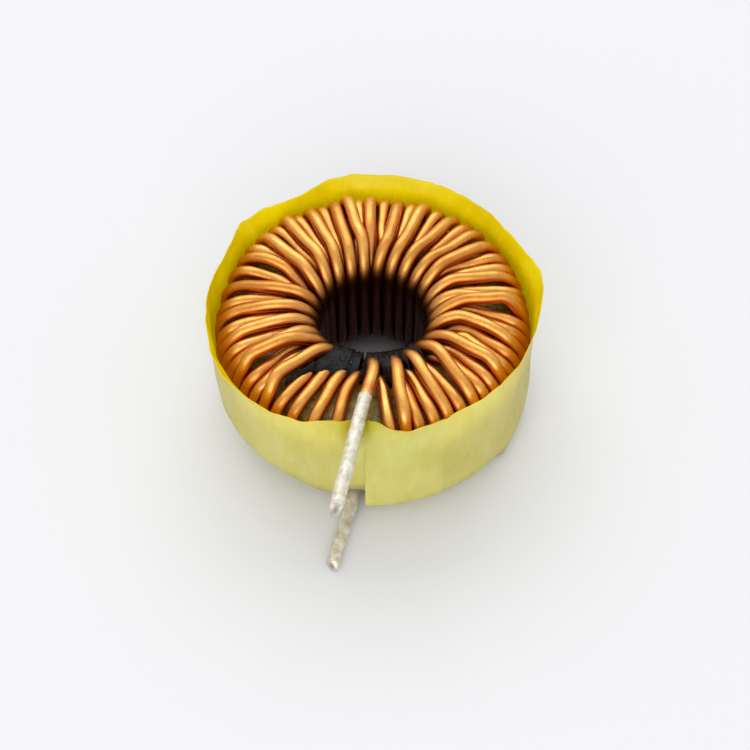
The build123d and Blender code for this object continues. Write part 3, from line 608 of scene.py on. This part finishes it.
# soften the folds, more towards the middle of the wall than at the rim
kernel_steps = 3
for step in range(kernel_steps):
    soft = film.copy()
    soft[1:-1] = 0.25 * film[:-2] + 0.5 * film[1:-1] + 0.25 * film[2:]
    keep_step = (cols[1:-1] > -24) & (cols[1:-1] < 362)
    film[1:-1][keep_step] = soft[1:-1][keep_step]
    soft = film.copy()
    soft[:, 1:-1] = 0.25 * film[:, :-2] + 0.5 * film[:, 1:-1] + 0.25 * film[:, 2:]
    film[:, 1:-1] = soft[:, 1:-1]
film_az = np.repeat(cols[:, None], film.shape[1], 1)
radial = film[..., :2] / np.linalg.norm(film[..., :2], axis=-1)[..., None]
samples = np.stack([np.sin(np.radians(film_az)) * 3.2, np.cos(np.radians(film_az)) * 3.2,
                    film[..., 2] * 0.12], -1).reshape(-1, 3)
broad = hash_noise(samples + (cols > 335).repeat(film.shape[1])[:, None] * 7.7, 3).reshape(film.shape[:2])
fine = hash_noise(samples * np.array([3.1, 3.1, 2.5]), 9).reshape(film.shape[:2])
height = smooth01((film[..., 2] - 3) / 10)
push = broad * (0.08 + 0.12 * height) + fine * (0.02 + 0.05 * height)
film[..., :2] += radial * push[..., None]
film[:, -1, 2] += 0.10 * hash_noise(np.stack([cols * 0.35, cols * 0, cols * 0], 1), 31)


# outline of the winding beside each column of the film: how far it reaches in a few directions
wire_pts = rings[::2].reshape(-1, 3)
wire_r = np.hypot(wire_pts[:, 0], wire_pts[:, 1])
body_part = (wire_r > 9.5) & (wire_r < 15.2)
wire_pts, wire_r = wire_pts[body_part], wire_r[body_part]
wire_az = np.degrees(np.arctan2(-wire_pts[:, 0], -wire_pts[:, 1])) % 360
lead_like = (wire_az < 12.5) & ((wire_pts[:, 2] < 2.2) | (wire_r > 12.6) & (wire_pts[:, 2] > 12.3))
wire_pts, wire_r, wire_az = wire_pts[~lead_like], wire_r[~lead_like], wire_az[~lead_like]
DIRECTIONS = [math.radians(v) for v in (-45, -30, -15, 0, 15, 30, 45, 60)]
reach_of = np.stack([wire_r * math.cos(t) - wire_pts[:, 2] * math.sin(t) for t in DIRECTIONS], 1)
bins = np.full((360, len(DIRECTIONS)), 0.0)
for k in range(len(DIRECTIONS)):
    np.maximum.at(bins[:, k], wire_az.astype(int) % 360, reach_of[:, k])
spread_bins = bins.copy()
for shift in (-3, -2, -1, 1, 2, 3):
    spread_bins = np.maximum(spread_bins, np.roll(bins, shift, 0))
support = spread_bins.copy()
for shift in (-2, -1, 1, 2):
    support += np.roll(spread_bins, shift, 0)
support = np.maximum(support / 5, np.maximum(np.roll(bins, 1, 0), np.maximum(np.roll(bins, -1, 0), bins)))


def clear_winding(points, az, layer_gap):
    """The film kept just outside the winding."""
    r = np.hypot(points[..., 0], points[..., 1])
    z = points[..., 2]
    least = np.full_like(r, 99.0)
    column = az % 360
    open_front = (column > 356.6) | (column < 12.0)
    for k, t in enumerate(DIRECTIONS):
        reach = np.interp(column.ravel(), np.arange(361), np.r_[support[:, k], support[0, k]]).reshape(az.shape)
        need = (reach + 0.035 + z * math.sin(t)) / math.cos(t)
        if t < 0:
            need = np.where(open_front, 0, need)
        least = np.minimum(least, np.where(reach > 1, need, 0))
    k = np.maximum(least + layer_gap, r) / r
    points[..., 0] *= k
    points[..., 1] *= k
    return points


gap = np.where(film_az > 334, 0.09, 0.0)
film = clear_winding(film, film_az, gap)
film[..., 2] = np.clip(film[..., 2], 0.06, 14.02)
d_col = np.gradient(film, axis=0)
d_row = np.gradient(film, axis=1)
normal = np.cross(d_row, d_col)
normal /= np.linalg.norm(normal, axis=-1)[..., None]
flip = np.sign((normal[..., :2] * film[..., :2]).sum(-1).mean())
normal *= flip
outer_face = film + normal * FILM_REAL
rows_n, cols_n = film.shape[1], film.shape[0]
ids = np.arange(rows_n * cols_n).reshape(cols_n, rows_n)
ids_o = ids + rows_n * cols_n


def sheet_quads(ids, reverse):
    q = np.stack([ids[:-1, :-1], ids[1:, :-1], ids[1:, 1:], ids[:-1, 1:]], -1).reshape(-1, 4)
    return q[:, ::-1] if reverse else q


inner_q = sheet_quads(ids, flip > 0)
outer_q = sheet_quads(ids_o, flip < 0)


def strip(a, b):
    return np.stack([a[:-1], a[1:], b[1:], b[:-1]], -1)


edge_q = np.vstack([strip(ids[:, 0], ids_o[:, 0]), strip(ids_o[:, -1], ids[:, -1]),
                    strip(ids_o[0], ids[0]), strip(ids[-1], ids_o[-1])])
film_quads = np.vstack([inner_q, outer_q, edge_q])
film_slots = np.r_[np.zeros(len(inner_q)), np.ones(len(outer_q)), np.zeros(len(edge_q))]
film_verts = np.vstack([film.reshape(-1, 3), outer_face.reshape(-1, 3)])
level = np.tile(film[..., 2].ravel() / 14.0, 2)
# where the rim leans in over the turns: more layers lie behind one another there, and a richer yellow is painted
# there as a glow of light shining through them
lean_in = smooth01((14.75 - np.hypot(film[..., 0], film[..., 1])) / 1.1) * smooth01((film[..., 2] - 10.6) / 1.6)
film_ob = make_object("outer_tape_film", film_verts, film_quads, face_slots=film_slots,
                      attributes=(("level", level), ("turn", np.tile(film_az.ravel() / 360, 2)),
                                  ("lean", np.tile(lean_in.ravel(), 2))))

# ------------------------------------------------------------------------------ the glue
# a skin carried at a varying distance from the core's surface: over the inner lip of the core and
# down the bore. Where it is under the core's surface there is no glue.
glue_az = np.arange(-56, 49.01, 0.5)
path_len = np.linspace(0, 1, 84)
bore_run, lip_run, top_run = 3.4, CORE_EDGE * math.pi / 2, 4.4
total_run = bore_run + lip_run + top_run
base, base_n = [], []
for s in path_len * total_run:
    if s < bore_run:
        base.append((CORE_RI, CORE_Z1 - CORE_EDGE - bore_run + s))
        base_n.append((-1.0, 0.0))
    elif s < bore_run + lip_run:
        t = (s - bore_run) / CORE_EDGE
        base.append((CORE_RI + CORE_EDGE - CORE_EDGE * math.cos(t), CORE_Z1 - CORE_EDGE + CORE_EDGE * math.sin(t)))
        base_n.append((-math.cos(t), math.sin(t)))
    else:
        base.append((CORE_RI + CORE_EDGE + s - bore_run - lip_run, CORE_Z1))
        base_n.append((0.0, 1.0))
base, base_n = np.array(base), np.array(base_n)
A, Sg = np.meshgrid(glue_az, path_len * total_run, indexing="ij")
lip = bore_run + lip_run
wob = hash_noise(np.stack([A.ravel() * 0.12, Sg.ravel() * 0.9, Sg.ravel() * 0], 1), 41).reshape(A.shape)
wob2 = hash_noise(np.stack([A.ravel() * 0.5, Sg.ravel() * 2.6, Sg.ravel() * 0], 1), 43).reshape(A.shape)
# how far out on the top the glue reaches, by azimuth
reach_az = np.array([-56, -50, -42, -30, -18, -8, 0, 6, 10, 16, 24, 31, 36, 39, 42, 45, 49])
reach = np.array([-2.6, -1.6, -0.9, -0.7, -0.5, -0.4, -0.5, -0.6, -0.6, -0.5, -0.2, 0.1, 0.3, 0.2, -0.3, -1.0, -2.2])
ragged = hash_noise(np.stack([A.ravel() * 0.28, A.ravel() * 0, A.ravel() * 0 + 2.5], 1), 47).reshape(A.shape)
edge_s = lip + np.interp(A, reach_az, reach) + 0.20 * wob + 0.26 * ragged
left = smooth01((A - 7) / 4) * smooth01((48.5 - A) / 3)      # the part over the first layer only
right = smooth01((A + 55) / 5) * smooth01((10 - A) / 4)
depth = edge_s - Sg
thick_left = 1.25 + 0.42 * smooth01(depth / 1.4) + 1.35 * smooth01((lip - 0.7 - Sg) / 1.2)
thick_right = 1.9 + 0.72 * smooth01(depth / 1.1) + 0.5 * smooth01((lip - 1.0 - Sg) / 1.2)
thick = np.maximum(thick_left * left, thick_right * right)
# down the bore the two parts run into one
joined = (2.25 + 0.45 * smooth01((lip - 1.6 - Sg) / 1.2)) * smooth01((lip - 0.9 - Sg) / 1.0)
thick = np.maximum(thick, joined * smooth01((A + 3) / 6) * smooth01((20 - A) / 6))
thick = thick + 0.10 * wob2 + 0.09 * wob
cover = smooth01(depth / 0.35 + 0.5) * smooth01((Sg - 0.3 - 0.3 * wob) / 0.8)
thick = thick * cover - 0.35 * (1 - cover)
# the tail: a stroke that runs out along the groove beside the last open turn
tail_a = np.array([-8.75 * math.sin(math.radians(37.6)), -8.75 * math.cos(math.radians(37.6))])
tail_b = np.array([-11.4 * math.sin(math.radians(41.4)), -11.4 * math.cos(math.radians(41.4))])
base_r = np.interp(Sg[0], path_len * total_run, base[:, 0])
flat = np.stack([-base_r[None] * np.sin(np.radians(A)), -base_r[None] * np.cos(np.radians(A))], -1)
t_ = np.clip(((flat - tail_a) @ (tail_b - tail_a)) / ((tail_b - tail_a) @ (tail_b - tail_a)), 0, 1)
off_line = np.linalg.norm(flat - tail_a - t_[..., None] * (tail_b - tail_a), axis=-1)
half = 0.62 - 0.30 * t_ + 0.10 * wob2
tail = 1 - (off_line / half) ** 2
tail_h = np.where(tail > -0.2, -0.35 + (1.72 - 0.22 * t_ + 0.35) * np.clip(tail, 0, 1) ** 0.5, -0.35)
thick = np.where(Sg > lip - 0.6, np.maximum(thick, tail_h), thick)
cover = np.ones_like(thick)
h = -0.35 + (thick + 0.35) * cover
h = np.minimum(h, 2.74 + 0.45 * smooth01((32 - np.abs(A)) / 14))
gr = base[:, 0][None] + base_n[:, 0][None] * h
gz = base[:, 1][None] + base_n[:, 1][None] * h
an = np.radians(A)
glue_top = np.stack([-gr * np.sin(an), -gr * np.cos(an), gz], -1)
hb = np.full_like(h, -0.45)
br = base[:, 0][None] + base_n[:, 0][None] * hb
bz = base[:, 1][None] + base_n[:, 1][None] * hb
glue_low = np.stack([-br * np.sin(an), -br * np.cos(an), bz], -1)
# only the part that stands out of the core is kept, with one ring of faces round it
show = h > -0.2
grow = show.copy()
grow[1:] |= show[:-1]; grow[:-1] |= show[1:]; grow[:, 1:] |= show[:, :-1]; grow[:, :-1] |= show[:, 1:]
gid = np.arange(A.size).reshape(A.shape)
gq = np.stack([gid[:-1, :-1], gid[1:, :-1], gid[1:, 1:], gid[:-1, 1:]], -1).reshape(-1, 4)
keep_face = grow.ravel()[gq].all(1)
gq = gq[keep_face]
edges_ = {}
for q in gq:
    for i in range(4):
        e = (int(q[i]), int(q[(i + 1) % 4]))
        edges_[e] = True
side_q = [(b, a, a + A.size, b + A.size) for (a, b) in edges_ if (b, a) not in edges_]
glue_quads = np.vstack([gq, gq[:, ::-1] + A.size, np.array(side_q)])
glue_verts = np.vstack([glue_top.reshape(-1, 3), glue_low.reshape(-1, 3)])
keep_ids, inverse = np.unique(glue_quads.ravel(), return_inverse=True)
glue_quads = inverse.reshape(-1, 4)
glue_verts = glue_verts[keep_ids]
# outside is where the skin faces away from the core
v0, v1, v2 = (glue_verts[glue_quads[:len(gq), k]] for k in (0, 1, 2))
face_n = np.cross(v1 - v0, v2 - v0)
mid = (v0 + v1 + v2) / 3
centre_line = mid[:, :2] / np.linalg.norm(mid[:, :2], axis=1)[:, None] * (CORE_RI + 2.5)
away = mid - np.column_stack([centre_line, np.full(len(mid), 9.0)])
if (face_n * away).sum() < 0:
    glue_quads = glue_quads[:, ::-1]
glue_ob = make_object("black_glue_bead", glue_verts, glue_quads)


# ------------------------------------------------------------------------------ materials
class Nodes:
    """Small helper for building a node tree."""

    def __init__(self, name):
        self.mat = bpy.data.materials.new(name)
        self.mat.use_nodes = True
        self.tree = self.mat.node_tree
        self.tree.nodes.clear()
        self.out = self.tree.nodes.new("ShaderNodeOutputMaterial")

    def add(self, kind, **values):
        n = self.tree.nodes.new("ShaderNode" + kind)
        for key, value in values.items():
            if hasattr(n, key) and key not in n.inputs:
                setattr(n, key, value)
            else:
                n.inputs[key].default_value = value
        return n

    def link(self, a, b):
        self.tree.links.new(a, b)

    def coords(self, scale=1000.0):
        """Object coordinates in millimetres."""
        tc = self.add("TexCoord")
        mp = self.add("Mapping")
        mp.inputs["Scale"].default_value = (scale, scale, scale)
        self.link(tc.outputs["Object"], mp.inputs["Vector"])
        return mp.outputs["Vector"]

    def noise(self, vec, scale, detail=3.0, rough=0.5, distortion=0.0):
        n = self.add("TexNoise")
        n.inputs["Scale"].default_value = scale
        n.inputs["Detail"].default_value = detail
        n.inputs["Roughness"].default_value = rough
        n.inputs["Distortion"].default_value = distortion
        self.link(vec, n.inputs["Vector"])
        return n.outputs["Fac"]

    def ramp(self, fac, stops, interpolation="LINEAR"):
        n = self.add("ValToRGB")
        n.color_ramp.interpolation = interpolation
        while len(n.color_ramp.elements) < len(stops):
            n.color_ramp.elements.new(0.5)
        for e, (p, c) in zip(n.color_ramp.elements, stops):
            e.position = p
            e.color = (c, c, c, 1) if isinstance(c, (int, float)) else (*c, 1)
        self.link(fac, n.inputs["Fac"])
        return n.outputs["Color"]

    def attribute(self, name):
        n = self.add("Attribute")
        n.attribute_name = name
        return n.outputs["Fac"]

    def math(self, op, a, b=None, clamp=False):
        n = self.add("Math")
        n.operation = op
        n.use_clamp = clamp
        for i, v in enumerate((a, b)):
            if v is None:
                continue
            if isinstance(v, (int, float)):
                n.inputs[i].default_value = v
            else:
                self.link(v, n.inputs[i])
        return n.outputs[0]

    def mix(self, fac, a, b, blend="MIX"):
        n = self.add("Mix")
        n.data_type = "RGBA"
        n.blend_type = blend
        for socket, v in ((n.inputs["Factor"], fac), (n.inputs[6], a), (n.inputs[7], b)):
            if isinstance(v, (int, float)):
                socket.default_value = v
            elif isinstance(v, tuple):
                socket.default_value = (*v, 1)
            else:
                self.link(v, socket)
        return n.outputs[2]

    def bump(self, height, strength, distance):
        n = self.add("Bump")
        n.inputs["Strength"].default_value = strength
        n.inputs["Distance"].default_value = distance
        self.link(height, n.inputs["Height"])
        return n.outputs["Normal"]


def srgb(r, g, b):
    out = []
    for v in (r, g, b):
        v /= 255
        out.append(v / 12.92 if v <= 0.04045 else ((v + 0.055) / 1.055) ** 2.4)
    return tuple(out)


# enamelled copper with tinned ends
m = Nodes("enamelled_copper")
vec = m.coords()
big = m.noise(vec, 0.22, 2.0)
mid_n = m.noise(vec, 1.1, 3.0)
small = m.noise(vec, 5.5, 3.0, 0.6)
shade_a = m.attribute("shade")
tone = m.math("ADD", m.math("MULTIPLY", big, 0.45), m.math("MULTIPLY", mid_n, 0.35))
tone = m.math("ADD", tone, m.math("MULTIPLY", shade_a, 0.10))
copper = m.ramp(tone, [(0.20, (0.62, 0.25, 0.036)), (0.42, (0.84, 0.41, 0.085)), (0.62, (0.96, 0.54, 0.15))])
# small darker flecks in the varnish
copper = m.mix(m.ramp(m.noise(vec, 3.6, 5.0, 0.72), [(0.54, 0.0), (0.66, 0.45)]), copper, (0.46, 0.13, 0.018))
# painted shade on the sides of the strands and in the grooves between them
copper = m.mix(m.math("MULTIPLY", m.attribute("painted_strand_shade"), 0.90), copper, (0.54, 0.115, 0.009))
# the strands are painted darker down in the bore: painted shade where little light reaches
copper = m.mix(m.ramp(m.attribute("painted_bore_shade"), [(0.0, 0.0), (0.30, 0.40), (0.75, 0.94), (1.0, 1.0)]), copper, (0.10, 0.016, 0.006))
edge = m.math("ADD", m.attribute("tin"), m.math("MULTIPLY", m.math("SUBTRACT", m.noise(vec, 1.6, 3.0), 0.5), 0.9))
tin_f = m.ramp(edge, [(0.42, 0.0), (0.58, 1.0)])
flecks = m.ramp(m.noise(vec, 4.2, 4.0, 0.65), [(0.30, 1.0), (0.36, 0.0)])
tin_tone = m.ramp(m.noise(vec, 1.3, 4.0, 0.6), [(0.3, srgb(186, 178, 152)), (0.5, srgb(216, 210, 194)), (0.68, srgb(236, 232, 222))])
tin_c = m.mix(m.math("MULTIPLY", flecks, 0.75), tin_tone, srgb(92, 84, 78))
tin_c = m.mix(m.ramp(m.attribute("cut"), [(0.2, 0.0), (0.8, 0.8)]), tin_c, srgb(120, 104, 92))
bare_c = m.mix(m.math("MULTIPLY", m.attribute("bare"), 0.8), copper, (0.60, 0.16, 0.06))
colour = m.mix(tin_f, bare_c, tin_c)
rough_c = m.ramp(m.noise(vec, 2.0, 3.0), [(0.3, 0.33), (0.7, 0.44)])
rough_t = m.ramp(m.noise(vec, 3.0, 3.0), [(0.3, 0.36), (0.7, 0.55)])
rough = m.mix(tin_f, rough_c, rough_t)
b1 = m.math("ADD", m.math("MULTIPLY", small, 0.3), m.math("MULTIPLY", mid_n, 0.7))
p = m.add("BsdfPrincipled")
m.link(m.ramp(tin_f, [(0.0, 1.0), (1.0, 0.42)]), p.inputs["Metallic"])
p.inputs["Coat Roughness"].default_value = 0.22
p.inputs["Coat IOR"].default_value = 1.5
m.link(colour, p.inputs["Base Color"])
m.link(rough, p.inputs["Roughness"])
m.link(m.ramp(tin_f, [(0.0, 0.34), (1.0, 0.0)]), p.inputs["Coat Weight"])
tin_bump = m.math("MULTIPLY", m.noise(vec, 2.6, 4.0, 0.6), m.math("MULTIPLY", tin_f, 2.4))
m.link(m.bump(m.math("ADD", b1, tin_bump), 0.35, 0.00008), p.inputs["Normal"])
m.link(p.outputs[0], m.out.inputs["Surface"])
copper_mat = m.mat
winding_ob.data.materials.append(copper_mat)


# yellow film, one material for each face; the inside's saturated yellow is a painted glow of light coming through
# the film, and the outside's paler tone is painted sheen
def film_material(name, dark, light, pale_streak, through, lit_through_colour):
    m = Nodes(name)
    vec = m.coords()
    patch = m.noise(vec, 0.16, 3.0, 0.55)
    streak_map = m.add("Mapping")
    streak_map.inputs["Scale"].default_value = (1.0, 1.0, 0.25)
    m.link(vec, streak_map.inputs["Vector"])
    streak = m.noise(streak_map.outputs[0], 0.9, 4.0, 0.6, 0.4)
    c = m.ramp(patch, [(0.32, dark), (0.66, light)])
    # paler streaks along the film
    c = m.mix(m.ramp(streak, [(0.52, 0.0), (0.72, 0.45)]), c, pale_streak)
    # richer yellow where the rim leans in: painted glow of light through the layers
    c = m.mix(m.math("MULTIPLY", m.attribute("lean"), 0.80), c, lit_through_colour)
    p = m.add("BsdfPrincipled")
    p.inputs["Specular IOR Level"].default_value = 0.4
    p.inputs["IOR"].default_value = 1.5
    p.inputs["Coat Weight"].default_value = 0.18
    p.inputs["Coat Roughness"].default_value = 0.08
    m.link(c, p.inputs["Base Color"])
    m.link(m.ramp(streak, [(0.3, 0.24), (0.75, 0.42)]), p.inputs["Roughness"])
    wrinkle = m.noise(vec, 0.55, 4.0, 0.55, 0.6)
    grain = m.noise(streak_map.outputs[0], 4.0, 2.0)
    hgt = m.math("ADD", m.math("MULTIPLY", wrinkle, 0.85), m.math("MULTIPLY", grain, 0.15))
    nrm = m.bump(hgt, 0.5, 0.0003)
    m.link(nrm, p.inputs["Normal"])
    t = m.add("BsdfTranslucent")
    m.link(c, t.inputs["Color"])
    mixs = m.add("MixShader")
    mixs.inputs["Fac"].default_value = through
    m.link(p.outputs[0], mixs.inputs[1])
    m.link(t.outputs[0], mixs.inputs[2])
    m.link(mixs.outputs[0], m.out.inputs["Surface"])
    return m.mat


# inside: saturated yellow, painted glow of light through the film; outside: paler, painted sheen
film_in = film_material("film_inside", srgb(246, 222, 0), srgb(255, 238, 6), srgb(255, 242, 50), 0.56, srgb(250, 232, 4))
film_out = film_material("film_outside", srgb(230, 226, 116), srgb(240, 239, 146), srgb(246, 244, 186), 0.48, srgb(226, 220, 34))
film_ob.data.materials.append(film_in)
film_ob.data.materials.append(film_out)

# black filler: glossy with a grey bloom in patches, and pale grey specks painted in as glints
m = Nodes("black_glue")
vec = m.coords()
bloom = m.noise(vec, 1.4, 5.0, 0.7)
glint_speck = m.noise(vec, 5.0, 4.0, 0.7)
c = m.ramp(bloom, [(0.54, srgb(5, 3, 3)), (0.68, srgb(11, 10, 10)), (0.80, srgb(44, 42, 41))])
patch = m.ramp(m.noise(vec, 0.9, 3.0), [(0.50, 0.0), (0.62, 1.0)])
# pale grey specks: painted glints
c = m.mix(m.math("MULTIPLY", m.ramp(glint_speck, [(0.60, 0.0), (0.68, 0.6)]), patch), c, srgb(128, 124, 120))
p = m.add("BsdfPrincipled")
p.inputs["Specular IOR Level"].default_value = 0.20
m.link(c, p.inputs["Base Color"])
m.link(m.ramp(bloom, [(0.4, 0.10), (0.7, 0.30)]), p.inputs["Roughness"])
m.link(m.bump(m.math("ADD", m.math("MULTIPLY", bloom, 0.85), m.math("MULTIPLY", glint_speck, 0.15)), 0.55, 0.0004), p.inputs["Normal"])
m.link(p.outputs[0], m.out.inputs["Surface"])
glue_ob.data.materials.append(m.mat)

# core coat: khaki, mottled, with spots of clear varnish
m = Nodes("core_coat")
vec = m.coords()
mott = m.noise(vec, 1.3, 5.0, 0.65)
dots = m.noise(vec, 6.0, 4.0, 0.7)
c = m.ramp(mott, [(0.30, srgb(84, 66, 14)), (0.50, srgb(140, 118, 48)), (0.70, srgb(178, 158, 88))])
c = m.mix(m.ramp(dots, [(0.55, 0.0), (0.70, 0.7)]), c, srgb(58, 38, 14))
p = m.add("BsdfPrincipled")
p.inputs["Specular IOR Level"].default_value = 0.35
p.inputs["Coat Weight"].default_value = 0.30
p.inputs["Coat Roughness"].default_value = 0.06
m.link(c, p.inputs["Base Color"])
m.link(m.ramp(mott, [(0.35, 0.25), (0.65, 0.55)]), p.inputs["Roughness"])
m.link(m.bump(m.math("ADD", m.math("MULTIPLY", mott, 0.6), m.math("MULTIPLY", dots, 0.4)), 0.8, 0.0003), p.inputs["Normal"])
m.link(p.outputs[0], m.out.inputs["Surface"])
core_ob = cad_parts["core"]
core_ob.data.materials.clear()
core_ob.data.materials.append(m.mat)

for ob, node, slot_name in ((winding_ob, "winding", "enamelled_copper"), (film_ob, "outer_tape", "yellow_film"),
                            (glue_ob, "black_glue", "black_glue")):
    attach(ob, "root")
    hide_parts(node)

# ------------------------------------------------------------------------------ stage
floor_me = bpy.data.meshes.new("floor")
S = 1.2
floor_me.from_pydata([(-S, -S, 0), (S, -S, 0), (S, S, 0), (-S, S, 0)], [], [(0, 1, 2, 3)])
floor = bpy.data.objects.new("floor", floor_me)
bpy.context.scene.collection.objects.link(floor)
fm = Nodes("floor")
fp = fm.add("BsdfPrincipled")
fp.inputs["Base Color"].default_value = (0.732, 0.735, 0.758, 1)
fp.inputs["Roughness"].default_value = 0.6
fp.inputs["Specular IOR Level"].default_value = 0.2
fm.link(fp.outputs[0], fm.out.inputs["Surface"])
floor_me.materials.append(fm.mat)

world = bpy.data.worlds.new("studio")
world.use_nodes = True
bg = world.node_tree.nodes["Background"]
bg.inputs["Color"].default_value = (1.0, 1.0, 1.0, 1)
bg.inputs["Strength"].default_value = 0.80
bpy.context.scene.world = world


def area(name, place, target, size, power, colour=(1, 1, 1)):
    la = bpy.data.lights.new(name, "AREA")
    la.shape = "RECTANGLE"
    la.size, la.size_y = size
    la.energy = power
    la.color = colour
    ob = bpy.data.objects.new(name, la)
    bpy.context.scene.collection.objects.link(ob)
    ob.location = place
    ob.rotation_euler = (Vector(target) - Vector(place)).to_track_quat("-Z", "Y").to_euler()
    return ob


area("softbox_back", (-0.05, 0.45, 0.55), (0, 0, 0.01), (0.80, 0.50), 2.05)
area("softbox_front", (-0.10, -0.58, 0.40), (0, 0, 0.01), (0.70, 0.40), 2.2)

# ------------------------------------------------------------------------------ camera
elevation, distance = math.radians(51.0), 0.170
target = Vector((0, 0, 0.0074))
forward = Vector((0, math.cos(elevation), -math.sin(elevation)))
place = target - forward * distance
cam_data = bpy.data.cameras.new("camera")
cam_data.sensor_width = 36.0
cam_data.lens = 36.0 * 1802.0 / 750.0
cam_data.clip_start = 0.01
cam_data.clip_end = 10
cam = bpy.data.objects.new("camera", cam_data)
bpy.context.scene.collection.objects.link(cam)
cam.location = place
pitch = elevation + math.atan(30.0 / 1802.0)
yaw = math.atan(3.5 / 1802.0)
cam.rotation_euler = (math.pi / 2 - pitch, 0, -yaw)
bpy.context.scene.camera = cam
bpy.context.scene.view_settings.view_transform = "Standard"
bpy.context.scene.view_settings.look = "None"
